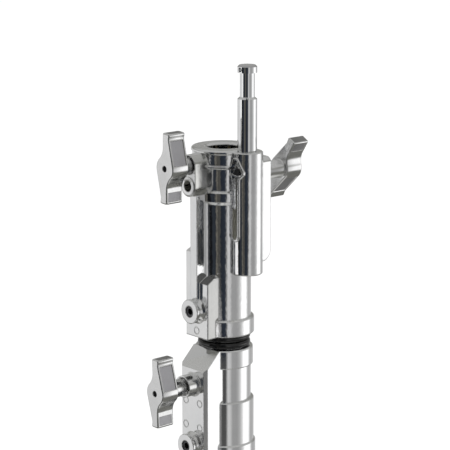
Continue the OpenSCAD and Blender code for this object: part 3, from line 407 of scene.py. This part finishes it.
# T handles
# The same outline as the CAD handle's, in millimetres, with round bevels and sunk panels.
# The mesh lies flat: its face is up at THICK, its back is at 0 and its neck hangs below.
# Radius of the hub, half of the handle's length, and its thickness
HUB_R = 10.5
HALF = 29.0
THICK = 17.0
# Steps of a curve, and the limit to how far a corner stretches when the outline is moved inward
CURVE_STEPS = 10
MITRE_LIMIT = 0.3
# Distance of a wing's straight flank from the middle line, and of its hollow side at the tip
WING = 3.6
TIP = 4.3
# How far before the end the straight flank stops, and where the hollow side starts to bend out to the hub
FLANK_STOP = 5
BEND_START = HALF * 0.58
# Rounded corners of a wing's end: the step in x from the flank or the tip, and the distance from the end
STRAIGHT_CORNER = [
    (0, FLANK_STOP), (0.08, 3.6), (0.22, 2.3), (0.35, 1.4), (0.1, 0.5), (-0.5, 0.08), (-1.2, 0),
]
HOLLOW_CORNER = [(1.7, 0), (0.9, 0.08), (0.3, 0.5), (0, 1.4)]
# Flat faces of half an outline, counted from its first point. A panel has a margin at the hub and one at
# the tip.
STRAIGHT_FACE = 0
STRAIGHT_MARGINS = (0.3, 0.9)
HOLLOW_FACE = 11
HOLLOW_MARGINS = (3.4, 0.5)
END_FACES = range(6, 9)
# Rounded edge between a flank and the face or the back
BEVEL = 1.2
BEVEL_STEPS = 4
# Panel: its margins towards the handle's back and face, the width of its sloped rim, and its depth.
# Corners closer than SAME_PLACE are one.
BACK_MARGIN = 0.7
FACE_MARGIN = 0.4
SLOPE_WIDTH = 0.45
SINK = 0.5
SAME_PLACE = 1e-6
# Hole of the screw's end, in the face. Its wall and floor get dark steel as painted shade.
HOLE_MOUTH_R = 2.75
HOLE_R = 2.45
HOLE_SLOPE = 0.4
HOLE_DEPTH = 5.5
HOLE_SIDES = 32
# Neck, at the back
NECK_R = 7.3
NECK_BORE_R = 5.3
NECK_EDGE = 0.8
NECK_FOOT = [(0.9, 0.0), (0.2, -0.35), (0.0, -1.0)]
NECK_SIDES = 48
# Material slots of the mesh
PANEL_SLOT = 1
# Slot of the painted shade in the hole
HOLE_SHADE_SLOT = 2
# Slot of the painted shade on the ends of the wings
END_SHADE_SLOT = 3
# Sides of the mast, as the sign of y
FRONT = -1
REAR = 1
# Node, which is also the name of its body; turn in degrees; length of the neck in mm; side of the mast
HANDLES = [
    ("receiver_handle", -4, 9.4, FRONT),
    ("spigot_handle", 30, 15.7, REAR),
    ("upper_clamp_handle", -1, 14.0, FRONT),
    ("lower_clamp_handle", -6, 14.0, FRONT),
    ("leg_clamp_handle", 5, 14.0, FRONT),
]


def wing(steps):
    """Half of the outline: a straight flank, an end, a hollow flank and part of the hub, anticlockwise."""
    reach = math.hypot(WING, HALF - FLANK_STOP)
    touch = math.atan2(HALF - FLANK_STOP, WING) - math.acos(HUB_R / reach)
    bend_r = (WING ** 2 + BEND_START ** 2 - HUB_R ** 2) / (2 * (HUB_R - WING))
    bend_end = math.atan2(BEND_START, WING + bend_r)
    points = [(HUB_R * math.cos(touch), HUB_R * math.sin(touch))]
    points += [(WING + step, HALF - before) for step, before in STRAIGHT_CORNER]
    points += [(-TIP + step, HALF - before) for step, before in HOLLOW_CORNER]
    for i in range(1, steps):
        a = i * bend_end / steps
        points.append((-WING - bend_r + bend_r * math.cos(a), BEND_START - bend_r * math.sin(a)))
    hub_start = math.pi - bend_end
    hub_end = math.pi + touch
    for i in range(steps * 2):
        a = hub_start + i * (hub_end - hub_start) / (steps * 2)
        points.append((HUB_R * math.cos(a), HUB_R * math.sin(a)))
    return points


def inset(points, by):
    """The outline moved inward by a distance."""
    count = len(points)
    result = []
    for i in range(count):
        before, here, after = (Vector(points[(i + k) % count]) for k in (-1, 0, 1))
        a = (here - before).normalized()
        b = (after - here).normalized()
        mitre = Vector((-a.y - b.y, a.x + b.x)) / 2
        result.append(tuple(here + mitre * by / max(mitre.length_squared, MITRE_LIMIT)))
    return result


def circle(radius, count):
    """Points on a circle, anticlockwise."""
    angles = [2 * math.pi * i / count for i in range(count)]
    return [(radius * math.cos(a), radius * math.sin(a)) for a in angles]


def ring(bm, points, z):
    """New vertices at the points, all at one height."""
    return [bm.verts.new((x, y, z)) for x, y in points]


def bridge(bm, a, b, slot=0):
    """Smooth faces between two rings of the same length."""
    faces = []
    for i in range(len(a)):
        j = (i + 1) % len(a)
        face = bm.faces.new((a[i], a[j], b[j], b[i]))
        face.smooth = True
        face.material_index = slot
        faces.append(face)
    return faces


def bridge_down(bm, rings, slots):
    """Faces from each ring to the next one, which is lower or inside it."""
    for a, b, slot in zip(rings, rings[1:], slots):
        bridge(bm, list(reversed(a)), list(reversed(b)), slot)


def edges_round(bm, loop):
    """The edges of a ring of vertices."""
    return [bm.edges.get((loop[i], loop[(i + 1) % len(loop)])) for i in range(len(loop))]


def sink_panel(bm, flank, near, far):
    """Replace a flat flank by a frame round a sunk panel. near and far are its margins at hub and tip."""
    corners = sorted((v.co.copy() for v in flank.verts), key=lambda c: (c.z, math.hypot(c.x, c.y)))
    near_low, far_low, near_high, far_high = corners
    along = far_low - near_low
    up = near_high - near_low
    size = Vector((along.length, up.length))
    along.normalize()
    up.normalize()
    inward = along.cross(up)
    if inward.dot(near_low) > 0:
        inward = -inward
    outer = []
    for corner in (near_low, far_low, far_high, near_high):
        outer.append([v for v in flank.verts if (v.co - corner).length < SAME_PLACE][0])
    bm.faces.remove(flank)

    def frame_ring(grow, depth):
        left = near + grow
        right = size.x - far - grow
        low = BACK_MARGIN + grow
        high = size.y - FACE_MARGIN - grow
        places = ((left, low), (right, low), (right, high), (left, high))
        return [bm.verts.new(near_low + along * u + up * v + inward * depth) for u, v in places]

    rim = frame_ring(0.0, 0.0)
    foot = frame_ring(SLOPE_WIDTH, SINK)
    for k in range(4):
        after = (k + 1) % 4
        bm.faces.new((outer[k], outer[after], rim[after], rim[k]))
        bm.faces.new((rim[k], rim[after], foot[after], foot[k]))
    bm.faces.new(foot).material_index = PANEL_SLOT


def handle_mesh(neck_len):
    """The mesh of a T handle whose neck has this length."""
    bm = bmesh.new()
    half = wing(CURVE_STEPS)
    outline = half + [(-x, -y) for x, y in half]
    arcs = [math.radians(90 * k / BEVEL_STEPS) for k in range(BEVEL_STEPS + 1)]
    levels = [(BEVEL * (1 - math.sin(a)), BEVEL * (1 - math.cos(a))) for a in arcs]
    outlines = [inset(outline, by) if by else outline for by, z in levels]
    rings = [ring(bm, points, z) for points, (by, z) in zip(outlines, levels)]
    rings += [ring(bm, points, THICK - z) for points, (by, z) in reversed(list(zip(outlines, levels)))]
    sides = []
    for a, b in zip(rings, rings[1:]):
        sides.append(bridge(bm, a, b))
    hole = [
        ring(bm, circle(HOLE_MOUTH_R, HOLE_SIDES), THICK),
        ring(bm, circle(HOLE_R, HOLE_SIDES), THICK - HOLE_SLOPE),
        ring(bm, circle(HOLE_R, HOLE_SIDES), THICK - HOLE_DEPTH),
    ]
    # The hole's wall and floor get dark steel as painted shade
    bridge_down(bm, hole, (0, HOLE_SHADE_SLOT))
    bm.faces.new(list(reversed(hole[-1]))).material_index = HOLE_SHADE_SLOT
    profile = [(NECK_R + out, z) for out, z in NECK_FOOT]
    profile += [(NECK_R, -neck_len + NECK_EDGE), (NECK_R - NECK_EDGE, -neck_len)]
    profile += [(NECK_BORE_R, -neck_len)]
    neck = [ring(bm, circle(radius, NECK_SIDES), z) for radius, z in profile]
    bridge_down(bm, neck, [0] * len(neck))
    for outer, inner in ((rings[-1], hole[0]), (rings[0], neck[0])):
        edges = edges_round(bm, outer) + edges_round(bm, inner)
        bmesh.ops.triangle_fill(bm, edges=edges, use_beauty=True)
    # Sunk panels on the flat flanks, and painted shade on the ends of the wings
    middle = sides[len(levels) - 1]
    for start in (0, len(half)):
        sink_panel(bm, middle[start + STRAIGHT_FACE], *STRAIGHT_MARGINS)
        sink_panel(bm, middle[start + HOLLOW_FACE], *HOLLOW_MARGINS)
        for k in END_FACES:
            middle[start + k].material_index = END_SHADE_SLOT
    bmesh.ops.recalc_face_normals(bm, faces=bm.faces)
    bm.transform(Matrix.Scale(0.001, 4))
    mesh = bpy.data.meshes.new("t_handle")
    bm.to_mesh(mesh)
    bm.free()
    # Slots: plating, panels, dark steel as painted shade in the hole, and the painted shade of the wings'
    # ends
    for skin in (handle_skin, panel_skin, dark_steel, painted_end_shade):
        mesh.materials.append(skin)
    return mesh


def t_handle(node, turn, neck_len, outward):
    """A T handle in place of the CAD node, turned by some degrees about the axis of its screw."""
    low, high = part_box(node)
    back_y = (abs(low.y) if outward == FRONT else abs(high.y)) - THICK / 1000.0
    screw_low, screw_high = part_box(node.replace("_handle", "_screw"))
    x = (screw_low.x + screw_high.x) / 2
    z = (screw_low.z + screw_high.z) / 2
    obj = bpy.data.objects.new(node + "_dressed", handle_mesh(neck_len))
    scene.collection.objects.link(obj)
    facing = Matrix.Rotation(0.0 if outward == FRONT else math.pi, 4, "Z")
    tilt = Matrix.Rotation(math.radians(90.0), 4, "X") @ Matrix.Rotation(math.radians(turn), 4, "Z")
    obj.matrix_world = Matrix.Translation((x, outward * back_y, z)) @ facing @ tilt
    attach(obj, node)
    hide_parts(node)


for node, turn, neck_len, outward in HANDLES:
    t_handle(node, turn, neck_len, outward)


# Studio
# Share of the light that bright metal gives back
METAL = 0.9


def lin(value):
    """Linear brightness of a display level, where 255 is white."""
    v = value / 255.0
    return v / 12.92 if v <= 0.04045 else ((v + 0.055) / 1.055) ** 2.4


def seen_as(red, green, blue):
    """The light that bright metal shows as this display colour."""
    return tuple(lin(level) / METAL for level in (red, green, blue))


def round_stops(table, turn):
    """Ramp stops of a table of (angle, red, green, blue) for a radial gradient turned by some degrees."""
    return [((angle + turn) / 360.0 + 0.5, seen_as(*colour)) for angle, *colour in table]


def background(tree, strength=1.0):
    """A white background."""
    node = tree.nodes.new("ShaderNodeBackground")
    node.inputs["Color"].default_value = (1.0, 1.0, 1.0, 1.0)
    node.inputs["Strength"].default_value = strength
    return node


def mix_shader(tree, amount, a, b):
    """Shader a to shader b."""
    node = tree.nodes.new("ShaderNodeMixShader")
    for socket, output in zip(node.inputs, (amount, a, b)):
        tree.links.new(output, socket)
    return node.outputs["Shader"]


# What bright metal sees round the horizon: angle from the camera towards the picture's right, gray level
ROUND = [
    (-180, 205), (-150, 200), (-133, 195), (-110, 204), (-96, 205), (-80, 232), (-70, 262), (-27, 264),
    (-22, 200), (-18, 152), (-11, 130), (-8, 74), (7, 74), (11, 135), (15, 185), (19, 196), (27, 180),
    (33, 148), (52, 146), (63, 164), (72, 196), (79, 235), (84, 264), (104, 264), (112, 245), (118, 196),
    (124, 168), (134, 168), (150, 178), (165, 195),
]
# What it sees below and above: the direction's z where it starts and where it is full, display colour
LAYERS = [
    # Dark far floor, and pale floor at the stand's foot
    (-0.335, -0.45, (108, 108, 104)),
    (-0.80, -0.92, (196, 196, 194)),
    # Gray back wall, and a lighter ceiling
    (0.04, 0.20, (130, 130, 126)),
    (0.30, 0.50, (168, 168, 167)),
]
SOFT_LIGHT = 0.8

world = bpy.data.worlds.new("studio")
scene.world = world
world.use_nodes = True
tree = world.node_tree
tree.nodes.clear()
direction = tree.nodes.new("ShaderNodeTexCoord").outputs["Generated"]
turned = tree.nodes.new("ShaderNodeMapping")
turned.vector_type = "POINT"
turned.inputs["Rotation"].default_value = (0.0, 0.0, math.radians(90.0) - AZIMUTH)
tree.links.new(direction, turned.inputs["Vector"])
around = tree.nodes.new("ShaderNodeTexGradient")
around.gradient_type = "RADIAL"
tree.links.new(turned.outputs["Vector"], around.inputs["Vector"])
grays = [(angle, level, level, level) for angle, level in ROUND]
room = colour_ramp(tree, around.outputs["Fac"], round_stops(grays, 0.0))
height = tree.nodes.new("ShaderNodeSeparateXYZ")
tree.links.new(direction, height.inputs["Vector"])
for start, full, colour in LAYERS:
    amount = ramp(tree, height.outputs["Z"], start, full, 0.0, 1.0)
    room = blend(tree, amount, room, seen_as(*colour))
# Bright metal mirrors the room, other light is an even white, and the camera sees plain white
mirror = tree.nodes.new("ShaderNodeBackground")
tree.links.new(room, mirror.inputs["Color"])
path = tree.nodes.new("ShaderNodeLightPath")
soft = background(tree, SOFT_LIGHT)
lit = mix_shader(
    tree, path.outputs["Is Glossy Ray"], soft.outputs["Background"], mirror.outputs["Background"])
clear = tree.nodes.new("ShaderNodeMath")
clear.operation = "MAXIMUM"
tree.links.new(path.outputs["Is Camera Ray"], clear.inputs[0])
tree.links.new(path.outputs["Is Transmission Ray"], clear.inputs[1])
seen = mix_shader(tree, clear.outputs["Value"], lit, background(tree).outputs["Background"])
out = tree.nodes.new("ShaderNodeOutputWorld")
tree.links.new(seen, out.inputs["Surface"])

# Pale floor
FLOOR_REACH = 90.0
FLOOR_LEVEL = 0.93
FLOOR_GLOW = 0.3

floor_mesh = bpy.data.meshes.new("floor")
floor_corners = [(x * FLOOR_REACH, y * FLOOR_REACH, 0) for x, y in ((-1, -1), (1, -1), (1, 1), (-1, 1))]
floor_mesh.from_pydata(floor_corners, [], [(0, 1, 2, 3)])
floor = bpy.data.objects.new("floor", floor_mesh)
scene.collection.objects.link(floor)
floor_mat, floor_tree, floor_shader = material("pale_floor")
floor_shader.inputs["Base Color"].default_value = (FLOOR_LEVEL, FLOOR_LEVEL, FLOOR_LEVEL, 1.0)
floor_shader.inputs["Roughness"].default_value = 0.9
floor_shader.inputs["Specular IOR Level"].default_value = 0.1
# The camera sees the lit floor as white, and the object's shadow on it stays
glow = add(floor_tree, "ShaderNodeEmission", Color=(1.0, 1.0, 1.0, 1.0))
floor_path = floor_tree.nodes.new("ShaderNodeLightPath")
glow_strength = ramp(floor_tree, floor_path.outputs["Is Camera Ray"], 0.0, 1.0, 0.0, FLOOR_GLOW)
floor_tree.links.new(glow_strength, glow.inputs["Strength"])
both = floor_tree.nodes.new("ShaderNodeAddShader")
floor_tree.links.new(floor_shader.outputs["BSDF"], both.inputs[0])
floor_tree.links.new(glow.outputs["Emission"], both.inputs[1])
floor_tree.links.new(both.outputs["Shader"], floor_tree.nodes["Material Output"].inputs["Surface"])
floor_mesh.materials.append(floor_mat)
floor.visible_glossy = False

# Dark card at the front left that only bright metal sees. Its right part is mirrored by the head and the
# spigot alone, so its foot is higher up.
AXIS_TURN = math.degrees(AZIMUTH) - 90.0
CARD_R = 0.6
CARD_TOP = 1.60
CARD_STEPS = 8
# Parts of the card: angle from, angle to, height of the foot
CARD_PARTS = [(-66.0, -27.0, 0.30), (-27.0, -9.0, 0.985), (-9.0, 7.0, 0.925)]
# Its colours: angle, display colour
STRIPES = [
    (-67, 30, 31, 33), (-65, 16, 17, 18), (-52, 20, 21, 23), (-49, 44, 48, 54),
    (-35, 42, 46, 52), (-33, 34, 37, 42), (-32, 108, 105, 98), (-28, 100, 97, 90),
    (-26, 66, 65, 62), (-15, 74, 73, 70), (-13, 34, 39, 46), (8, 44, 49, 58),
]

card_mesh = bpy.data.meshes.new("dark_card")
card_points = []
card_faces = []
for start, end, foot in CARD_PARTS:
    for k in range(CARD_STEPS + 1):
        turn = math.radians(AXIS_TURN + start + (end - start) * k / CARD_STEPS)
        card_points += [(CARD_R * math.cos(turn), CARD_R * math.sin(turn), z) for z in (foot, CARD_TOP)]
        if k:
            n = len(card_points)
            card_faces.append((n - 4, n - 3, n - 1, n - 2))
card_mesh.from_pydata(card_points, [], card_faces)
card = bpy.data.objects.new("dark_card", card_mesh)
scene.collection.objects.link(card)
card_mat = bpy.data.materials.new("dark_card")
card_mat.use_nodes = True
card_tree = card_mat.node_tree
card_tree.nodes.clear()
spot = card_tree.nodes.new("ShaderNodeTexCoord").outputs["Object"]
sweep = card_tree.nodes.new("ShaderNodeTexGradient")
sweep.gradient_type = "RADIAL"
card_tree.links.new(spot, sweep.inputs["Vector"])
stripes = colour_ramp(card_tree, sweep.outputs["Fac"], round_stops(STRIPES, AXIS_TURN))
shade = add(card_tree, "ShaderNodeEmission", Strength=1.0)
card_tree.links.new(stripes, shade.inputs["Color"])
card_out = card_tree.nodes.new("ShaderNodeOutputMaterial")
card_tree.links.new(shade.outputs["Emission"], card_out.inputs["Surface"])
card_mesh.materials.append(card_mat)
card.visible_camera = False
card.visible_diffuse = False
card.visible_shadow = False
card.visible_transmission = False

# Soft key light from the upper left
KEY_POWER = 26.0
KEY_SIZE = 1.6
KEY_PLACE = (-1.2, -2.2, 3.0)
KEY_AIM = Vector((0, 0, 1.0))

key_data = bpy.data.lights.new("key", "AREA")
key_data.energy = KEY_POWER
key_data.size = KEY_SIZE
key = bpy.data.objects.new("key", key_data)
scene.collection.objects.link(key)
key.location = KEY_PLACE
key.rotation_mode = "QUATERNION"
key.rotation_quaternion = (KEY_AIM - key.location).to_track_quat("-Z", "Y")
key.visible_glossy = False
